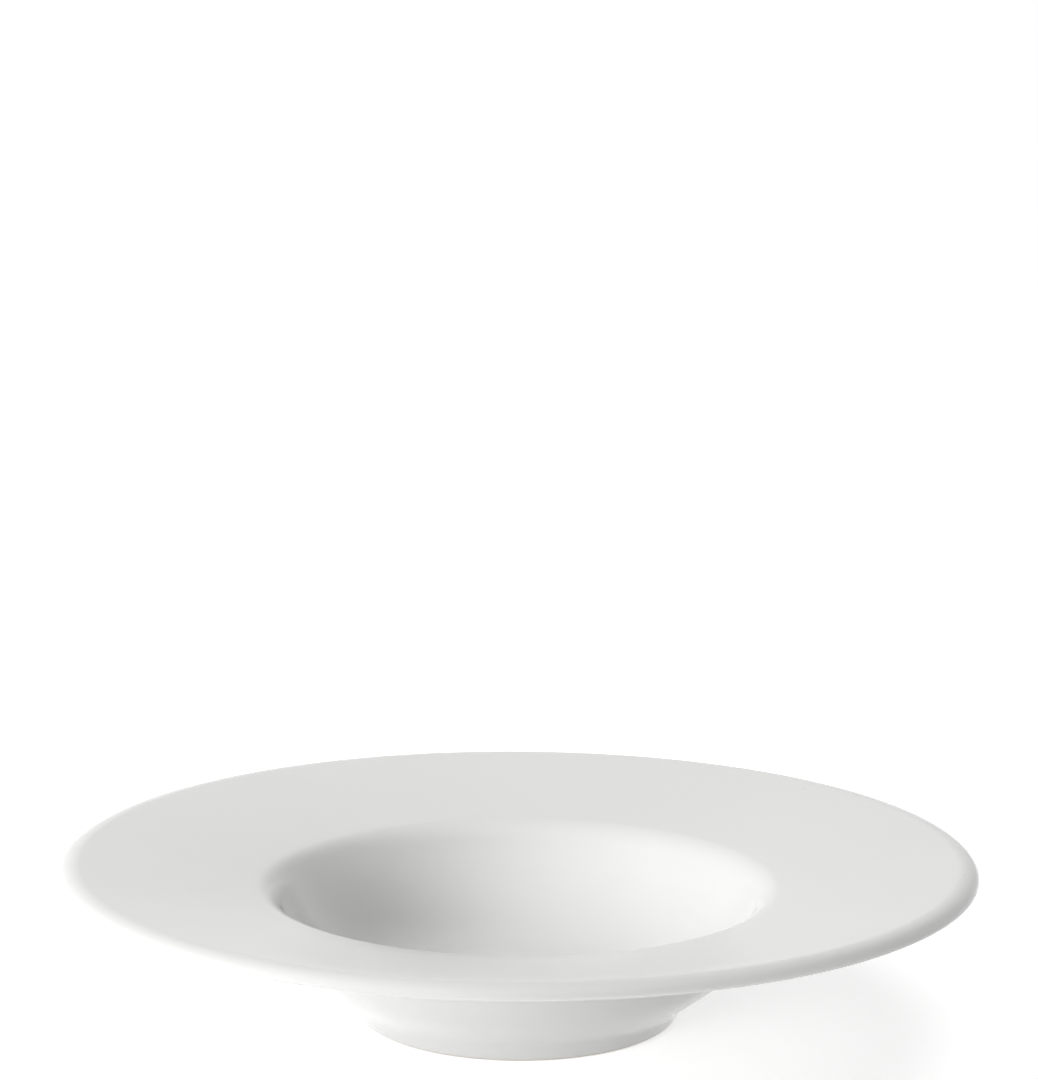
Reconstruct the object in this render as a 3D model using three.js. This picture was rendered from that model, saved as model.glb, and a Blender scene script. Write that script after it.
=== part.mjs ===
// Wide rim bowl: one fired porcelain body under a glassy glaze that stops short of the ring it stands on.
// Millimetres, +Z up, origin on the table below the middle of the bowl.
import * as THREE from "three";

const { degToRad } = THREE.MathUtils;

// Rim and flange
const rimRadius = 135;
const rimHeight = 49;
const flangeClimb = degToRad(9.5);
const edgeUpperReach = 5;
const edgeUpperRise = 2.9;
const edgeLowerReach = 2.5;
const edgeLowerRise = 1.3;

// Well
const mouthRadius = 77.3;
const lipRadius = 9.7;
const wallSteepness = degToRad(65);
const floorThickness = 6;

// Outside of the well
const wallThickness = 6;
const underFlangeFillet = 8;
const skirtSteepness = degToRad(37);

// Foot ring and the recess inside it
const footHeight = 5.9;
const footFlare = degToRad(33.5);
const footFillet = 14;
const footEdgeRound = 1.2;
const standingWidth = 4.5;
const recessDepth = 4;
const recessFlare = degToRad(25);
const recessFillet = 2;

// Glaze
const glazeThickness = 0.3;
const glazeBondGap = 0.05;
const bareFootHeight = 0.8;

const segmentsAround = 48;
const arcStep = degToRad(13);

const bodyInset = glazeThickness + glazeBondGap;
const downward = -Math.PI / 2;

const point = (radius, height) => new THREE.Vector2(radius, height);

// Unit vector square to a surface that climbs outward at the given angle, on its upper side.
const upwardNormal = (climb) => point(-Math.sin(climb), Math.cos(climb));

const along = (start, direction, distance) => start.clone().addScaledVector(direction, distance);

// Points of an ellipse between two angles; equal half axes make it a circle.
function ellipseArc(centre, halfWidth, halfHeight, fromAngle, toAngle) {
  const steps = Math.max(2, Math.round(Math.abs(toAngle - fromAngle) / arcStep));
  return Array.from({ length: steps + 1 }, (_, index) => {
    const angle = fromAngle + (toAngle - fromAngle) * index / steps;
    return point(centre.x + halfWidth * Math.cos(angle), centre.y + halfHeight * Math.sin(angle));
  });
}

const circleArc = (centre, radius, fromAngle, toAngle) =>
  ellipseArc(centre, radius, radius, fromAngle, toAngle);

// Angle on an ellipse whose surface faces the given way.
const facingAngle = (halfWidth, halfHeight, normal) =>
  Math.atan2(halfHeight * normal.y, halfWidth * normal.x);

const onEllipse = (centre, halfWidth, halfHeight, angle) =>
  point(centre.x + halfWidth * Math.cos(angle), centre.y + halfHeight * Math.sin(angle));

// Flange: a shallow cone between the lip of the well and the rounded edge.
const flangeNormal = upwardNormal(flangeClimb);
const underNormal = flangeNormal.clone().negate();
const flangeDirection = point(Math.cos(flangeClimb), Math.sin(flangeClimb));
const edgeHeight = rimHeight - edgeUpperRise;
const edgeUpperCentre = point(rimRadius - edgeUpperReach, edgeHeight);
const edgeLowerCentre = point(rimRadius - edgeLowerReach, edgeHeight);
const flangeEnd = onEllipse(
  edgeUpperCentre,
  edgeUpperReach,
  edgeUpperRise,
  facingAngle(edgeUpperReach, edgeUpperRise, flangeNormal),
);
const underEnd = onEllipse(
  edgeLowerCentre,
  edgeLowerReach,
  edgeLowerRise,
  facingAngle(edgeLowerReach, edgeLowerRise, underNormal),
);
const mouthHeight = flangeEnd.y - Math.tan(flangeClimb) * (flangeEnd.x - mouthRadius);

// Lip: turns from the flange down into the well, so its centre lies under the surface.
const lipCentre = along(point(mouthRadius, mouthHeight), flangeNormal, -lipRadius);
const wallNormal = upwardNormal(wallSteepness);
const lipFoot = along(lipCentre, wallNormal, lipRadius);

// Well: one hollow curve from the lip down to the flat floor.
const floorHeight = recessDepth + floorThickness;
const wellRadius = (lipFoot.y - floorHeight) / (1 - Math.cos(wallSteepness));
const wellCentre = along(lipFoot, wallNormal, wellRadius);

// Outside wall: follows the well, then runs straight as a skirt down to the foot.
const outsideRadius = wellRadius + wallThickness;
const skirtNormal = upwardNormal(skirtSteepness).negate();
const skirtTop = along(wellCentre, skirtNormal, outsideRadius);

// The fillet under the flange touches the flange's lower face and the outside wall.
const filletReach = outsideRadius + underFlangeFillet;
const filletRow = along(underEnd, underNormal, underFlangeFillet);
const filletStart = filletRow.clone().sub(wellCentre);
const filletAlong = filletStart.dot(flangeDirection);
const filletSlide = filletAlong - Math.sqrt(filletAlong ** 2 - filletStart.lengthSq() + filletReach ** 2);
const filletCentre = along(filletRow, flangeDirection, -filletSlide);
const filletToWall = wellCentre.clone().sub(filletCentre);
const wallToFillet = filletToWall.clone().negate();

// Foot: flares up from the table and runs into the skirt over a soft fillet.
const footTop = point(skirtTop.x - (skirtTop.y - footHeight) / Math.tan(skirtSteepness), footHeight);
const footBase = footTop.x - footHeight * Math.tan(footFlare);
const footNormal = point(Math.cos(footFlare), -Math.sin(footFlare));
const cornerHalf = (Math.PI / 2 - skirtSteepness - footFlare) / 2;
const cornerReach = footFillet / Math.cos(cornerHalf);
const cornerDirection = skirtNormal.clone().add(footNormal).normalize();
const footFilletCentre = along(footTop, cornerDirection, cornerReach);
const footSide = (height, inset) => footBase + height * Math.tan(footFlare) - inset / Math.cos(footFlare);

// Recess: its side leans in toward the floor above it.
const standingOuter = footSide(footEdgeRound, bodyInset) - footEdgeRound / Math.cos(footFlare);
const standingInner = standingOuter - standingWidth;
const recessBase = standingInner - footEdgeRound / Math.cos(recessFlare)
  + footEdgeRound * Math.tan(recessFlare) - bodyInset / Math.cos(recessFlare);
const recessFilletHeight = recessDepth - recessFillet;
const recessFilletCentre = point(
  recessBase - recessFilletHeight * Math.tan(recessFlare) - recessFillet / Math.cos(recessFlare),
  recessFilletHeight,
);

// The bowl's surface from the middle of the floor over the rim and down to the glaze's lower edge,
// sunk by an inset below the finished glaze.
function outsideSurface(inset) {
  const upperWidth = edgeUpperReach - inset;
  const upperHeight = edgeUpperRise - inset;
  const lowerWidth = edgeLowerReach - inset;
  const lowerHeight = edgeLowerRise - inset;
  return [
    point(0, floorHeight - inset),
    ...circleArc(wellCentre, wellRadius + inset, downward, downward + wallSteepness),
    ...circleArc(lipCentre, lipRadius - inset, wallNormal.angle(), flangeNormal.angle()).slice(1),
    ...ellipseArc(
      edgeUpperCentre,
      upperWidth,
      upperHeight,
      facingAngle(upperWidth, upperHeight, flangeNormal),
      0,
    ),
    ...ellipseArc(
      edgeLowerCentre,
      lowerWidth,
      lowerHeight,
      0,
      facingAngle(lowerWidth, lowerHeight, underNormal),
    ).slice(1),
    ...circleArc(filletCentre, underFlangeFillet + inset, flangeNormal.angle(), filletToWall.angle()),
    ...circleArc(
      wellCentre,
      outsideRadius - inset,
      wallToFillet.angle() - 2 * Math.PI,
      skirtNormal.angle() - 2 * Math.PI,
    ).slice(1),
    ...circleArc(
      footFilletCentre,
      footFillet + inset,
      skirtNormal.angle() - Math.PI,
      footNormal.angle() - Math.PI,
    ),
    point(footSide(bareFootHeight, inset), bareFootHeight),
  ];
}

// The recess from the top of its bare side up to the middle of its ceiling.
function recessSurface(inset) {
  return [
    ...circleArc(recessFilletCentre, recessFillet + inset, recessFlare, Math.PI / 2),
    point(0, recessDepth + inset),
  ];
}

// The bare ring that meets the table, rounded at both edges.
function standingRing() {
  return [
    ...circleArc(point(standingOuter, footEdgeRound), footEdgeRound, -footFlare, downward),
    ...circleArc(point(standingInner, footEdgeRound), footEdgeRound, downward, recessFlare - Math.PI),
  ];
}

// Outlines run over the top and back underneath; a lathe's faces point out when it runs the other way.
function turned(name, outline, material) {
  const geometry = new THREE.LatheGeometry(outline.toReversed(), segmentsAround);
  geometry.rotateX(Math.PI / 2);
  const mesh = new THREE.Mesh(geometry, material);
  mesh.name = name;
  return mesh;
}

const bisque = new THREE.MeshStandardMaterial({ color: 0xece7dc, roughness: 0.85, metalness: 0 });
const glaze = new THREE.MeshStandardMaterial({ color: 0xf5f5f3, roughness: 0.12, metalness: 0 });

const bowl = new THREE.Group();
bowl.add(
  turned(
    "porcelain_body",
    [...outsideSurface(bodyInset), ...standingRing(), ...recessSurface(bodyInset)],
    bisque,
  ),
  turned(
    "glaze_coat",
    [...outsideSurface(0), ...outsideSurface(glazeThickness).reverse()],
    glaze,
  ),
  turned(
    "recess_glaze",
    [...recessSurface(glazeThickness).reverse(), ...recessSurface(0)],
    glaze.clone(),
  ),
);

export default bowl;
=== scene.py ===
# Wide rim bowl in white glazed porcelain, standing on a pale studio floor.
# Metres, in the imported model's own frame: +Z up, origin on the table under the middle of the bowl.
import math

import bmesh
import bpy
from mathutils import Matrix, Vector


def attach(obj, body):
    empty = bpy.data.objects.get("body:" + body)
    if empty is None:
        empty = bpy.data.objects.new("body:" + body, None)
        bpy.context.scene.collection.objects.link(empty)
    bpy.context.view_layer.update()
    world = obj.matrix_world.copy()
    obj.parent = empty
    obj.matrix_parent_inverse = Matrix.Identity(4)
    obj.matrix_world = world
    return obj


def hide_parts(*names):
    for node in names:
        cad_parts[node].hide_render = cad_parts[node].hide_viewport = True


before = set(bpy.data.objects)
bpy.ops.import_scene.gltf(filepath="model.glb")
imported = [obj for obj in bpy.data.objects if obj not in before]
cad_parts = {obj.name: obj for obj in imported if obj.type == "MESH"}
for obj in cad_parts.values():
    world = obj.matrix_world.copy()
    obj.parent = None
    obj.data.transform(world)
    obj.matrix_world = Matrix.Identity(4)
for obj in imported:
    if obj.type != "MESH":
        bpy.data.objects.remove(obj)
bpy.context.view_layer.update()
mm = 0.001
print("frame loaded:", sorted(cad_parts))

# The turned form that the clay and its glaze share: lengths in metres, slopes in degrees.
bowlForm = {
    "rimRadius": 135 * mm,
    "rimHeight": 49 * mm,
    "flangeClimb": 9.5,
    "edgeUpper": (5 * mm, 2.9 * mm),  # reach and rise of the rim's rounding above its widest line
    "edgeLower": (2.5 * mm, 1.3 * mm),  # and below it
    "mouthRadius": 77.3 * mm,
    "lipRadius": 9.7 * mm,
    "wallSteepness": 65,
    "wallThickness": 6 * mm,
    "floorThickness": 6 * mm,
    "underFlangeFillet": 8 * mm,
    "skirtSteepness": 37,
    "footHeight": 5.9 * mm,
    "footFlare": 33.5,
    "footFillet": 14 * mm,
    "footEdgeRound": 1.2 * mm,
    "standingWidth": 4.5 * mm,
    "recessDepth": 4 * mm,
    "recessFlare": 25,
    "recessFillet": 2 * mm,
    "glazeThickness": 0.3 * mm,
    "glazeBondGap": 0.05 * mm,
    "bareFootHeight": 0.8 * mm,
    "shownStep": 3.5,  # turn between points along an arc that shows, in degrees
    "hiddenStep": 12,  # and along one that glaze or clay covers
    "aroundSteps": 256,
    "longestRun": 9 * mm,  # straight stretches are cut into rings no wider than this
    "mergeReach": 0.002 * mm,  # points nearer than this become one
}


def facing(degrees):
    # unit vector in the outline's plane, 0 pointing outward and 90 up
    angle = math.radians(degrees)
    return Vector((math.cos(angle), 0, math.sin(angle)))


def heading(vector):
    return math.degrees(math.atan2(vector.z, vector.x))


def ellipseFoot(centre, halves, face):
    # the spot on an ellipse whose surface faces the given way
    normal = facing(face)
    turn = math.atan2(halves[1] * normal.z, halves[0] * normal.x)
    return centre + Vector((halves[0] * math.cos(turn), 0, halves[1] * math.sin(turn)))


def setOut(form):
    # Each arc of the outline: its centre, its reach and rise, the way its surface faces at both ends,
    # and whether it is hollow. Straight stretches join one arc to the next.
    flangeFace = 90 + form["flangeClimb"]
    underFace = flangeFace - 180
    wallFace = 90 + form["wallSteepness"]
    skirtFace = form["skirtSteepness"] - 90
    footFace = -form["footFlare"]
    recessFace = form["recessFlare"] - 180
    lip = form["lipRadius"]
    edgeRound = form["footEdgeRound"]
    sunk = form["glazeThickness"] + form["glazeBondGap"]

    edgeHeight = form["rimHeight"] - form["edgeUpper"][1]
    upperCentre = Vector((form["rimRadius"] - form["edgeUpper"][0], 0, edgeHeight))
    lowerCentre = Vector((form["rimRadius"] - form["edgeLower"][0], 0, edgeHeight))
    flangeEnd = ellipseFoot(upperCentre, form["edgeUpper"], flangeFace)
    underEnd = ellipseFoot(lowerCentre, form["edgeLower"], underFace)

    flangeFall = math.tan(math.radians(form["flangeClimb"])) * (flangeEnd.x - form["mouthRadius"])
    mouth = Vector((form["mouthRadius"], 0, flangeEnd.z - flangeFall))
    lipCentre = mouth - facing(flangeFace) * lip
    lipFoot = lipCentre + facing(wallFace) * lip

    floorHeight = form["recessDepth"] + form["floorThickness"]
    wellRadius = (lipFoot.z - floorHeight) / (1 - math.cos(math.radians(form["wallSteepness"])))
    wellCentre = lipFoot + facing(wallFace) * wellRadius
    outsideRadius = wellRadius + form["wallThickness"]

    # the fillet under the flange rolls along the flange's lower face until it meets the outside wall
    fillet = form["underFlangeFillet"]
    flangeRun = facing(form["flangeClimb"])
    rolling = underEnd + facing(underFace) * fillet - wellCentre
    alongRun = rolling.dot(flangeRun)
    slide = math.sqrt(alongRun ** 2 - rolling.length_squared + (outsideRadius + fillet) ** 2) - alongRun
    filletCentre = wellCentre + rolling + flangeRun * slide
    filletFace = heading(filletCentre - wellCentre)

    skirtTop = wellCentre + facing(skirtFace) * outsideRadius
    skirtRun = (skirtTop.z - form["footHeight"]) / math.tan(math.radians(form["skirtSteepness"]))
    footTop = Vector((skirtTop.x - skirtRun, 0, form["footHeight"]))
    corner = (facing(skirtFace) + facing(footFace)).normalized()
    footFilletCentre = footTop + corner * form["footFillet"] / corner.dot(facing(footFace))
    flare = math.tan(math.radians(form["footFlare"]))
    flareSlant = math.cos(math.radians(form["footFlare"]))
    footBase = footTop.x - form["footHeight"] * flare

    def footSide(height, inset):
        return Vector((footBase + height * flare - inset / flareSlant, 0, height))

    standingOuter = footSide(edgeRound, sunk).x - edgeRound / flareSlant
    standingInner = standingOuter - form["standingWidth"]
    lean = math.tan(math.radians(form["recessFlare"]))
    leanSlant = math.cos(math.radians(form["recessFlare"]))
    recessBase = standingInner - (edgeRound + sunk) / leanSlant + edgeRound * lean
    recessFilletHeight = form["recessDepth"] - form["recessFillet"]
    recessSide = recessBase - recessFilletHeight * lean - form["recessFillet"] / leanSlant

    def arc(centre, halves, faces, hollow=False):
        return {"centre": centre, "halves": halves, "faces": faces, "hollow": hollow}

    def circle(centre, radius, faces, hollow=False):
        return arc(centre, (radius, radius), faces, hollow)

    return {
        "floorHeight": floorHeight,
        "footSide": footSide,
        "footFace": footFace,
        "overTheTop": [
            circle(wellCentre, wellRadius, (90, wallFace), hollow=True),
            circle(lipCentre, lip, (wallFace, flangeFace)),
            arc(upperCentre, form["edgeUpper"], (flangeFace, 0)),
            arc(lowerCentre, form["edgeLower"], (0, underFace)),
            circle(filletCentre, fillet, (underFace, filletFace), hollow=True),
            circle(wellCentre, outsideRadius, (filletFace, skirtFace)),
            circle(footFilletCentre, form["footFillet"], (skirtFace, footFace), hollow=True),
        ],
        "standingRing": [
            circle(Vector((standingOuter, 0, edgeRound)), edgeRound, (footFace, -90)),
            circle(Vector((standingInner, 0, edgeRound)), edgeRound, (-90, recessFace)),
        ],
        "recess": [
            circle(
                Vector((recessSide, 0, recessFilletHeight)),
                form["recessFillet"],
                (recessFace, -90),
                hollow=True,
            ),
        ],
    }


lines = setOut(bowlForm)
print("outline set out: floor at", round(lines["floorHeight"] / mm, 2), "mm")


def lineTo(bm, tip, spot):
    # the last point is extruded and carried to the next spot
    end = bmesh.ops.extrude_vert_indiv(bm, verts=[tip])["verts"][0]
    bmesh.ops.translate(bm, verts=[end], vec=spot - end.co)
    return end


def arcTo(bm, tip, bend, inset, step, backward=False):
    # a straight edge to the arc's first point, then the point swings about the centre; an inset sinks
    # the arc below the finished surface, and a rise unlike the reach flattens it into an ellipse
    grow = inset if bend["hollow"] else -inset
    reach, rise = (half + grow for half in bend["halves"])
    side = math.pi if bend["hollow"] else 0
    turns = [
        math.atan2(rise * facing(face).z, reach * facing(face).x) + side
        for face in bend["faces"]
    ]
    start, end = reversed(turns) if backward else turns
    sweep = (end - start + math.pi) % (2 * math.pi) - math.pi
    older = set(bm.verts)
    centre = bend["centre"]
    first = lineTo(bm, tip, centre + facing(math.degrees(start)) * reach)
    steps = max(3, math.ceil(abs(math.degrees(sweep)) / step))
    swung = bmesh.ops.spin(bm, geom=[first], cent=centre, axis=(0, -1, 0), angle=sweep, steps=steps)
    swept = [vert for vert in bm.verts if vert not in older]
    bmesh.ops.scale(bm, verts=swept, vec=(1, 1, rise / reach), space=Matrix.Translation(-centre))
    return swung["geom_last"][0]


def drawArcs(bm, tip, bends, inset=0, backward=False, shown=True):
    step = bowlForm["shownStep" if shown else "hiddenStep"]
    for bend in reversed(bends) if backward else bends:
        tip = arcTo(bm, tip, bend, inset, step, backward)
    return tip


def turnOnWheel(bm, name):
    # the finished outline becomes a closed body of revolution, with its faces outward
    bmesh.ops.remove_doubles(bm, verts=bm.verts[:], dist=bowlForm["mergeReach"])
    for edge in [e for e in bm.edges if e.calc_length() > bowlForm["longestRun"]]:
        cuts = math.ceil(edge.calc_length() / bowlForm["longestRun"]) - 1
        bmesh.ops.subdivide_edges(bm, edges=[edge], cuts=cuts)
    bmesh.ops.spin(
        bm,
        geom=bm.verts[:] + bm.edges[:],
        cent=(0, 0, 0),
        axis=(0, 0, 1),
        angle=2 * math.pi,
        steps=bowlForm["aroundSteps"],
        use_merge=True,
    )
    bmesh.ops.remove_doubles(bm, verts=bm.verts[:], dist=bowlForm["mergeReach"])
    bmesh.ops.recalc_face_normals(bm, faces=bm.faces[:])
    for face in bm.faces:
        face.smooth = True
    openEdges = sum(not edge.is_manifold for edge in bm.edges)
    mesh = bpy.data.meshes.new(name)
    bm.to_mesh(mesh)
    print(name, "turned:", len(bm.faces), "faces,", openEdges, "open edges,", bm.calc_volume() * 1e6, "cm3")
    bm.free()
    piece = bpy.data.objects.new(name, mesh)
    bpy.context.scene.collection.objects.link(piece)
    return piece


def linear(hexColour):
    # sRGB hex to the linear colour that shaders take
    parts = [int(hexColour[at:at + 2], 16) / 255 for at in (1, 3, 5)]
    parts = [c / 12.92 if c <= 0.04045 else ((c + 0.055) / 1.055) ** 2.4 for c in parts]
    return (*parts, 1)


def addNode(tree, kind, values=None, links=None, **settings):
    node = tree.nodes.new(kind)
    for setting, value in settings.items():
        setattr(node, setting, value)
    for socket, value in (values or {}).items():
        node.inputs[socket].default_value = value
    for socket, source in (links or {}).items():
        tree.links.new(source, node.inputs[socket])
    return node


def newMaterial(name):
    material = bpy.data.materials.new(name)
    material.use_nodes = True
    material.node_tree.nodes.clear()
    return material, material.node_tree


# Glazed porcelain: a clear glass skin fired over white clay. The eye gets a clean neutral white under a
# sharp, slightly wavy gloss, with a trace of uneven tone and a rare iron speck.
glazeFinish = {
    "white": "#EAEAE9",
    "shade": "#E7E7E5",
    "speck": "#A39B90",
    "toneSize": 55 * mm,
    "speckSpacing": 16 * mm,
    "speckRadius": 0.3 * mm,
    "speckCore": 0.4,  # share of its radius at full strength
    "speckStrength": 0.7,
    "ior": 1.5,
    "roughness": (0.07, 0.11),
    "waveSize": 24 * mm,
    "waveHeight": 0.02 * mm,
    "peelSize": 3 * mm,
    "peelHeight": 0.0012 * mm,
    "turningPitch": 1.8 * mm,
    "turningHeight": 0.012 * mm,
    "turningWander": 0.6,  # how far the rings stray from true
}


def glazedPorcelain(name, turned=False):
    finish = glazeFinish
    material, tree = newMaterial(name)
    spot = addNode(tree, "ShaderNodeTexCoord").outputs["Object"]
    tone = addNode(
        tree, "ShaderNodeTexNoise", {"Scale": 1 / finish["toneSize"], "Detail": 2}, {"Vector": spot},
    )
    white = addNode(
        tree, "ShaderNodeMix", {6: linear(finish["white"]), 7: linear(finish["shade"])},
        {0: tone.outputs["Fac"]}, data_type="RGBA",
    )
    # specks: a loose scatter in space, so a dot shows only where one of its points lies in the surface
    scatter = addNode(
        tree, "ShaderNodeTexVoronoi", {"Scale": 1 / finish["speckSpacing"]}, {"Vector": spot},
    )
    speckReach = finish["speckRadius"] / finish["speckSpacing"]
    dot = addNode(
        tree, "ShaderNodeMapRange",
        {
            "From Min": speckReach * finish["speckCore"],
            "From Max": speckReach,
            "To Min": finish["speckStrength"],
            "To Max": 0,
        },
        {"Value": scatter.outputs["Distance"]},
    )
    colour = addNode(
        tree, "ShaderNodeMix", {7: linear(finish["speck"])},
        {0: dot.outputs["Result"], 6: white.outputs[2]}, data_type="RGBA",
    )
    roughness = addNode(
        tree, "ShaderNodeMapRange",
        {"To Min": finish["roughness"][0], "To Max": finish["roughness"][1]},
        {"Value": tone.outputs["Fac"]},
    )
    # the melt's long waves, then the fine pull of its surface
    wave = addNode(
        tree, "ShaderNodeTexNoise", {"Scale": 1 / finish["waveSize"], "Detail": 1}, {"Vector": spot},
    )
    peel = addNode(
        tree, "ShaderNodeTexNoise", {"Scale": 1 / finish["peelSize"], "Detail": 1}, {"Vector": spot},
    )
    waveBump = addNode(
        tree, "ShaderNodeBump", {"Distance": finish["waveHeight"]}, {"Height": wave.outputs["Fac"]},
    )
    bump = addNode(
        tree, "ShaderNodeBump", {"Distance": finish["peelHeight"]},
        {"Height": peel.outputs["Fac"], "Normal": waveBump.outputs["Normal"]},
    )
    if turned:
        # rings left by the turning tool, softened under the glaze; a wave's period is pi / 10 at scale 1
        rings = addNode(
            tree, "ShaderNodeTexWave",
            {
                "Scale": math.pi / 10 / finish["turningPitch"],
                "Distortion": finish["turningWander"],
                "Detail Scale": 0.2,
            },
            {"Vector": spot}, wave_type="RINGS", rings_direction="Z",
        )
        bump = addNode(
            tree, "ShaderNodeBump", {"Distance": finish["turningHeight"]},
            {"Height": rings.outputs["Fac"], "Normal": bump.outputs["Normal"]},
        )
    shader = addNode(
        tree, "ShaderNodeBsdfPrincipled", {"IOR": finish["ior"]},
        {
            "Base Color": colour.outputs[2],
            "Roughness": roughness.outputs["Result"],
            "Normal": bump.outputs["Normal"],
        },
    )
    addNode(tree, "ShaderNodeOutputMaterial", links={"Surface": shader.outputs["BSDF"]})
    return material


# Bare fired porcelain, ground where it stands: matt and a touch warmer than the glaze, with a fine
# sugary grain and grey scuffs from tables and other plates.
bareFinish = {
    "clay": "#ECE8E0",
    "clayShade": "#E2DDD3",
    "scuff": "#B4B0AA",
    "patchSize": 9 * mm,
    "scuffSize": 2.5 * mm,
    "scuffRange": (0.52, 0.68),  # noise from no scuff to a full one
    "scuffStrength": 0.6,
    "scuffHeight": 0.35 * mm,  # scuffs stay on the lowest part of the ring
    "grainSize": 0.35 * mm,
    "grainHeight": 0.02 * mm,
    "ior": 1.5,
    "roughness": (0.72, 0.9),
}


def barePorcelain(name):
    finish = bareFinish
    material, tree = newMaterial(name)
    spot = addNode(tree, "ShaderNodeTexCoord").outputs["Object"]
    patch = addNode(
        tree, "ShaderNodeTexNoise", {"Scale": 1 / finish["patchSize"], "Detail": 3}, {"Vector": spot},
    )
    clay = addNode(
        tree, "ShaderNodeMix", {6: linear(finish["clay"]), 7: linear(finish["clayShade"])},
        {0: patch.outputs["Fac"]}, data_type="RGBA",
    )
    rub = addNode(
        tree, "ShaderNodeTexNoise", {"Scale": 1 / finish["scuffSize"], "Detail": 4}, {"Vector": spot},
    )
    rubbed = addNode(
        tree, "ShaderNodeMapRange",
        {
            "From Min": finish["scuffRange"][0],
            "From Max": finish["scuffRange"][1],
            "To Min": 0,
            "To Max": finish["scuffStrength"],
        },
        {"Value": rub.outputs["Fac"]},
    )
    height = addNode(tree, "ShaderNodeSeparateXYZ", links={"Vector": spot})
    low = addNode(
        tree, "ShaderNodeMapRange",
        {"From Min": 0, "From Max": finish["scuffHeight"], "To Min": 1, "To Max": 0},
        {"Value": height.outputs["Z"]},
    )
    worn = addNode(
        tree, "ShaderNodeMath",
        links={0: rubbed.outputs["Result"], 1: low.outputs["Result"]}, operation="MULTIPLY",
    )
    colour = addNode(
        tree, "ShaderNodeMix", {7: linear(finish["scuff"])},
        {0: worn.outputs["Value"], 6: clay.outputs[2]}, data_type="RGBA",
    )
    grain = addNode(
        tree, "ShaderNodeTexNoise", {"Scale": 1 / finish["grainSize"], "Detail": 2}, {"Vector": spot},
    )
    roughness = addNode(
        tree, "ShaderNodeMapRange",
        {"To Min": finish["roughness"][0], "To Max": finish["roughness"][1]},
        {"Value": grain.outputs["Fac"]},
    )
    bump = addNode(
        tree, "ShaderNodeBump", {"Distance": finish["grainHeight"]}, {"Height": grain.outputs["Fac"]},
    )
    shader = addNode(
        tree, "ShaderNodeBsdfPrincipled", {"IOR": finish["ior"]},
        {
            "Base Color": colour.outputs[2],
            "Roughness": roughness.outputs["Result"],
            "Normal": bump.outputs["Normal"],
        },
    )
    addNode(tree, "ShaderNodeOutputMaterial", links={"Surface": shader.outputs["BSDF"]})
    return material


# Glaze over the whole outside, from the middle of the well over the rim to just above the table
glazeCoat = {
    "node": "glaze_coat",
    "slot": "glaze",
    "edgeRadius": 0.18 * mm,  # the melt draws up into a round edge, a little proud of the coat
    "edgeRise": 1.1 * mm,  # over this height
}


def makeGlazeCoat():
    thick = bowlForm["glazeThickness"]
    edge = glazeCoat["edgeRadius"]
    edgeHeight = bowlForm["bareFootHeight"] + edge
    bm = bmesh.new()
    tip = bm.verts.new((0, 0, lines["floorHeight"]))
    tip = drawArcs(bm, tip, lines["overTheTop"])
    tip = lineTo(bm, tip, lines["footSide"](edgeHeight + glazeCoat["edgeRise"], 0))
    footFace = lines["footFace"]
    bead = {
        "centre": lines["footSide"](edgeHeight, thick - edge),
        "halves": (edge, edge),
        "hollow": False,
    }
    for faces in ((footFace, -90), (-90, footFace - 180)):
        tip = arcTo(bm, tip, {**bead, "faces": faces}, 0, bowlForm["hiddenStep"])
    tip = drawArcs(bm, tip, lines["overTheTop"], thick, backward=True, shown=False)
    lineTo(bm, tip, Vector((0, 0, lines["floorHeight"] - thick)))
    piece = turnOnWheel(bm, "bowlGlaze")
    piece.data.materials.append(glazedPorcelain("glazedPorcelain"))
    return piece


# Clay under the glaze; only the ring that it stands on is bare
clayBody = {"node": "porcelain_body", "slot": "bisque"}


def makeClayBody():
    sunk = bowlForm["glazeThickness"] + bowlForm["glazeBondGap"]
    bm = bmesh.new()
    tip = bm.verts.new((0, 0, lines["floorHeight"] - sunk))
    tip = drawArcs(bm, tip, lines["overTheTop"], sunk, shown=False)
    tip = drawArcs(bm, tip, lines["standingRing"])
    tip = drawArcs(bm, tip, lines["recess"], sunk, shown=False)
    lineTo(bm, tip, Vector((0, 0, bowlForm["recessDepth"] + sunk)))
    piece = turnOnWheel(bm, "clayBody")
    piece.data.materials.append(barePorcelain("barePorcelain"))
    return piece


# Glaze poured into the recess inside the foot ring, over the turner's rings
recessGlaze = {"node": "recess_glaze", "slot": "glaze"}


def makeRecessGlaze():
    thick = bowlForm["glazeThickness"]
    bm = bmesh.new()
    tip = bm.verts.new((0, 0, bowlForm["recessDepth"]))
    tip = drawArcs(bm, tip, lines["recess"], backward=True)
    tip = drawArcs(bm, tip, lines["recess"], thick, shown=False)
    lineTo(bm, tip, Vector((0, 0, bowlForm["recessDepth"] + thick)))
    piece = turnOnWheel(bm, "recessGlaze")
    piece.data.materials.append(glazedPorcelain("glazedTurnedPorcelain", turned=True))
    return piece


for make, part in ((makeGlazeCoat, glazeCoat), (makeClayBody, clayBody), (makeRecessGlaze, recessGlaze)):
    piece = make()
    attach(piece, "root")
    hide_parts(part["node"])
print("pieces made")

# Pale floor: it fades out into the white surroundings and keeps the bowl's soft shadow
studioFloor = {
    "halfSize": 4.0,
    "colour": "#F4F4F4",
    "glow": (0.6, 1.0),  # own white where it is seen, near the bowl's axis and far from it
    "fade": (0.3, 0.9),  # metres from the axis over which that changes
    "shine": (0.3, 0),  # light that it throws up at the bowl, from the key's side to the far side
    "shineRun": (-0.3, 0.15),  # metres across, from left to right
}


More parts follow.
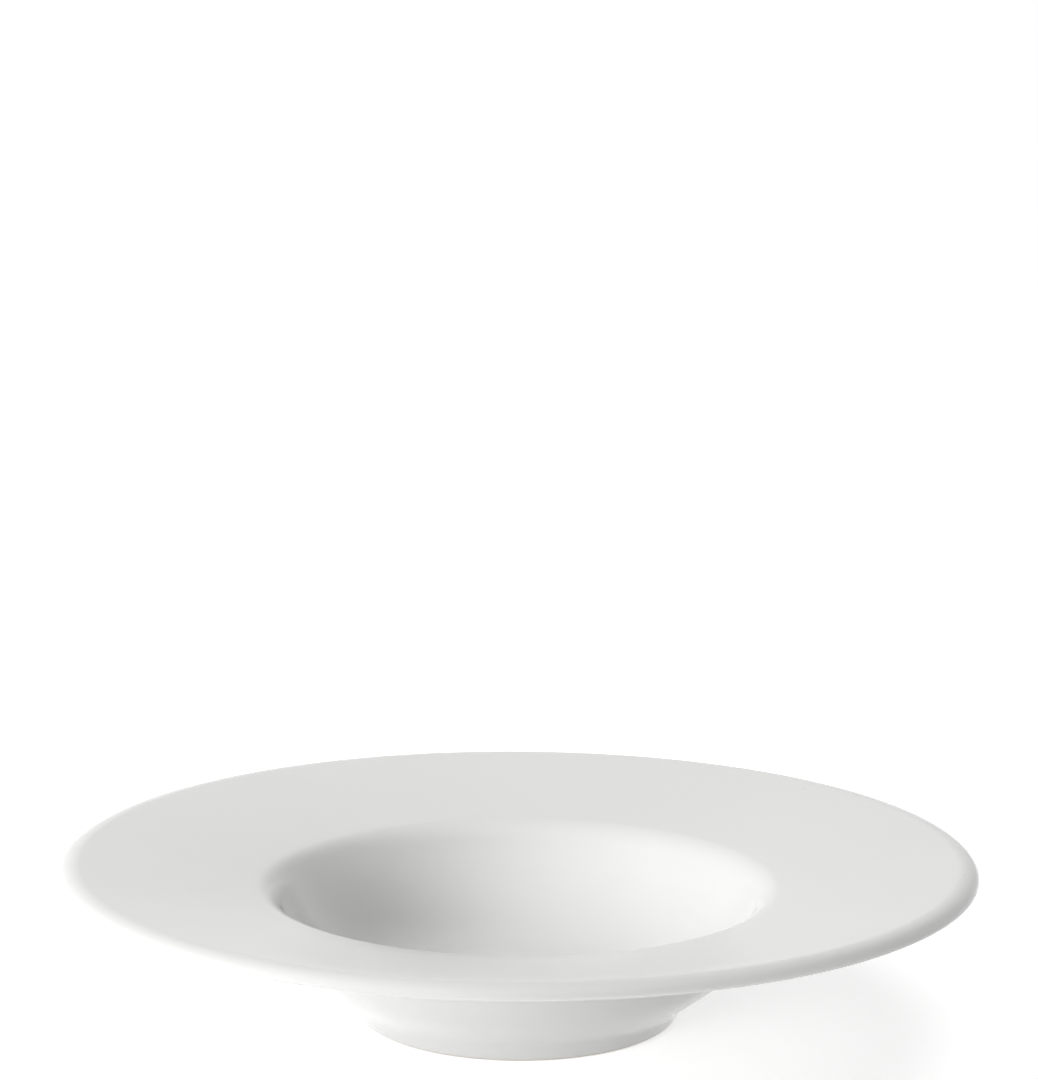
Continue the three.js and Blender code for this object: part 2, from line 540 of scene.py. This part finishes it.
def seenRays(tree):
    # 1 for rays that show a thing to the eye, straight or in a gloss, and 0 for rays that only carry light
    rays = addNode(tree, "ShaderNodeLightPath")
    seen = addNode(
        tree, "ShaderNodeMath",
        links={0: rays.outputs["Is Camera Ray"], 1: rays.outputs["Is Glossy Ray"]}, operation="MAXIMUM",
    )
    seen = addNode(
        tree, "ShaderNodeMath",
        links={0: seen.outputs["Value"], 1: rays.outputs["Is Transmission Ray"]}, operation="MAXIMUM",
    )
    return seen.outputs["Value"]


def makeFloor():
    bm = bmesh.new()
    bmesh.ops.create_grid(bm, x_segments=1, y_segments=1, size=studioFloor["halfSize"])
    mesh = bpy.data.meshes.new("studioFloor")
    bm.to_mesh(mesh)
    bm.free()
    floor = bpy.data.objects.new("studioFloor", mesh)
    bpy.context.scene.collection.objects.link(floor)
    material, tree = newMaterial("paintedFloor")
    matt = addNode(tree, "ShaderNodeBsdfDiffuse", {"Color": linear(studioFloor["colour"])})
    spot = addNode(tree, "ShaderNodeTexCoord").outputs["Object"]
    away = addNode(tree, "ShaderNodeVectorMath", links={0: spot}, operation="LENGTH")
    glow = addNode(
        tree, "ShaderNodeMapRange",
        {
            "From Min": studioFloor["fade"][0],
            "From Max": studioFloor["fade"][1],
            "To Min": studioFloor["glow"][0],
            "To Max": studioFloor["glow"][1],
        },
        {"Value": away.outputs["Value"]}, interpolation_type="SMOOTHSTEP",
    )
    across = addNode(tree, "ShaderNodeSeparateXYZ", links={"Vector": spot})
    shine = addNode(
        tree, "ShaderNodeMapRange",
        {
            "From Min": studioFloor["shineRun"][0],
            "From Max": studioFloor["shineRun"][1],
            "To Min": studioFloor["shine"][0],
            "To Max": studioFloor["shine"][1],
        },
        {"Value": across.outputs["X"]},
    )
    level = addNode(
        tree, "ShaderNodeMix",
        links={0: seenRays(tree), 2: shine.outputs["Result"], 3: glow.outputs["Result"]},
    )
    light = addNode(tree, "ShaderNodeEmission", links={"Strength": level.outputs[0]})
    both = addNode(
        tree, "ShaderNodeAddShader", links={0: matt.outputs["BSDF"], 1: light.outputs["Emission"]},
    )
    addNode(tree, "ShaderNodeOutputMaterial", links={"Surface": both.outputs["Shader"]})
    mesh.materials.append(material)


makeFloor()

# White surroundings: plain white where they are seen or mirrored, and a faint even light elsewhere
surroundings = {"lightColour": "#FFFFFF", "lightLevel": 0.01}


def makeSurroundings():
    world = bpy.data.worlds.new("whiteStudio")
    world.use_nodes = True
    bpy.context.scene.world = world
    tree = world.node_tree
    tree.nodes.clear()
    even = addNode(
        tree, "ShaderNodeBackground",
        {"Color": linear(surroundings["lightColour"]), "Strength": surroundings["lightLevel"]},
    )
    white = addNode(tree, "ShaderNodeBackground", {"Color": (1, 1, 1, 1), "Strength": 1})
    both = addNode(
        tree, "ShaderNodeMixShader",
        links={0: seenRays(tree), 1: even.outputs["Background"], 2: white.outputs["Background"]},
    )
    addNode(tree, "ShaderNodeOutputWorld", links={"Surface": both.outputs["Shader"]})


makeSurroundings()

# Softboxes round the bowl, aimed over its well: bearing in degrees from the right-hand side and round by the
# back, climb above the table in degrees, distance and size in metres, power in watts. The glaze mirrors the
# white surroundings and not the boxes, whose hard corners would show in it.
softboxAim = Vector((0, 0, 30 * mm))
softboxes = {
    "keyLeft": {"bearing": 200, "climb": 27, "distance": 1.1, "size": (0.5, 0.42), "power": 5.1},
    "keyLeftHigh": {"bearing": 175, "climb": 36, "distance": 1.1, "size": (0.5, 0.42), "power": 3.9},
    "topSoft": {"bearing": 10, "climb": 72, "distance": 0.8, "size": (0.5, 0.5), "power": 2.0},
    "frontFill": {"bearing": 240, "climb": 12, "distance": 1.5, "size": (0.6, 0.3), "power": 7.8},
    "lowRight": {"bearing": 320, "climb": 5, "distance": 0.75, "size": (0.5, 0.12), "power": 0.75},
    "back": {"bearing": 90, "climb": 28, "distance": 0.75, "size": (0.5, 0.5), "power": 1.15},
}


def makeSoftbox(name, box):
    lamp = bpy.data.lights.new(name, "AREA")
    lamp.shape = "RECTANGLE"
    lamp.size, lamp.size_y = box["size"]
    lamp.energy = box["power"]
    softbox = bpy.data.objects.new(name, lamp)
    toBox = Matrix.Rotation(math.radians(box["bearing"]), 3, "Z") @ facing(box["climb"])
    softbox.location = softboxAim + toBox * box["distance"]
    softbox.rotation_euler = (-toBox).to_track_quat("-Z", "Y").to_euler()
    softbox.visible_camera = False
    softbox.visible_glossy = False
    bpy.context.scene.collection.objects.link(softbox)


for name, box in softboxes.items():
    makeSoftbox(name, box)
print("studio lit")

# Camera at the photograph's place, worked out from the rim, mouth and foot ellipses
cameraSet = {
    "place": (0, -1030.98 * mm, 322.28 * mm),
    "pitchDown": 9.8751,
    "pan": 0.0288,
    "roll": 0.3516,
    "lens": 120,
    "sensor": 36,
}


def makeCamera():
    data = bpy.data.cameras.new("photoCamera")
    data.lens = cameraSet["lens"]
    data.sensor_width = cameraSet["sensor"]
    camera = bpy.data.objects.new("photoCamera", data)
    turn = (
        Matrix.Rotation(math.radians(cameraSet["pan"]), 4, "Z")
        @ Matrix.Rotation(math.radians(90 - cameraSet["pitchDown"]), 4, "X")
        @ Matrix.Rotation(math.radians(cameraSet["roll"]), 4, "Z")
    )
    camera.matrix_world = Matrix.Translation(cameraSet["place"]) @ turn
    bpy.context.scene.collection.objects.link(camera)
    bpy.context.scene.camera = camera


makeCamera()
bpy.context.scene.view_settings.view_transform = "Standard"
